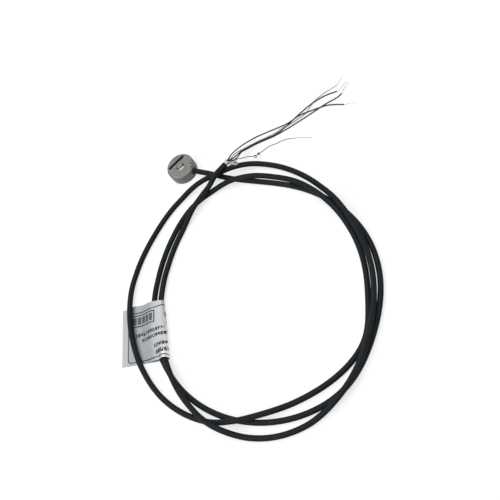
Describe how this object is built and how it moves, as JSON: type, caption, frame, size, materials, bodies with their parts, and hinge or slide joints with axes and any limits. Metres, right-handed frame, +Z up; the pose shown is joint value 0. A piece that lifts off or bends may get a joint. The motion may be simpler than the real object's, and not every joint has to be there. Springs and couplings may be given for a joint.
{
  "type": "button load cell",
  "caption": "Round miniature compression load cell with a raised load button, a slotted face, a base cover, an inner strain gauge bridge and its looped cable with a stripped end.",
  "frame": {"origin": "centre of the cell's base, on the surface that it stands on", "axes": "+Z up along the load axis through the button, +X towards the side that the cable leaves from"},
  "size_m": [0.177, 0.253, 0.0131],
  "materials": {
    "body_metal": "fine turned, satin",
    "cover_metal": "faced, satin",
    "sealant": "dull",
    "cable_jacket": "satin black",
    "board_laminate": "solder resist, satin",
    "chip_ceramic": "satin",
    "enamelled_wire": "enamelled",
    "gauge_film": "polyimide film with a foil grid",
    "label_film": "silver film with dark print fields",
    "screen_foil": "crinkled foil",
    "tinned_copper": "tinned",
    "insulation_red": "satin",
    "insulation_white": "satin",
    "insulation_black": "satin",
    "insulation_green": "satin"
  },
  "bodies": {
    "root": {"base_cover": "cover_metal", "bridge_board": "board_laminate", "cable_jacket": "cable_jacket", "cable_seal": "sealant", "cell_body": "body_metal", "compensation_resistor_1": "chip_ceramic", "compensation_resistor_2": "chip_ceramic", "core_black": "insulation_black", "core_green": "insulation_green", "core_red": "insulation_red", "core_white": "insulation_white", "drain_wire": "tinned_copper", "flag_label": "label_film", "gauge_wire_1a": "enamelled_wire", "gauge_wire_1b": "enamelled_wire", "gauge_wire_2a": "enamelled_wire", "gauge_wire_2b": "enamelled_wire", "gauge_wire_3a": "enamelled_wire", "gauge_wire_3b": "enamelled_wire", "gauge_wire_4a": "enamelled_wire", "gauge_wire_4b": "enamelled_wire", "lead_black": "insulation_black", "lead_green": "insulation_green", "lead_red": "insulation_red", "lead_white": "insulation_white", "shield_foil": "screen_foil", "strain_gauge_1": "gauge_film", "strain_gauge_2": "gauge_film", "strain_gauge_3": "gauge_film", "strain_gauge_4": "gauge_film", "tip_black": "tinned_copper", "tip_green": "tinned_copper", "tip_red": "tinned_copper", "tip_white": "tinned_copper"}
  },
  "joints": []
}
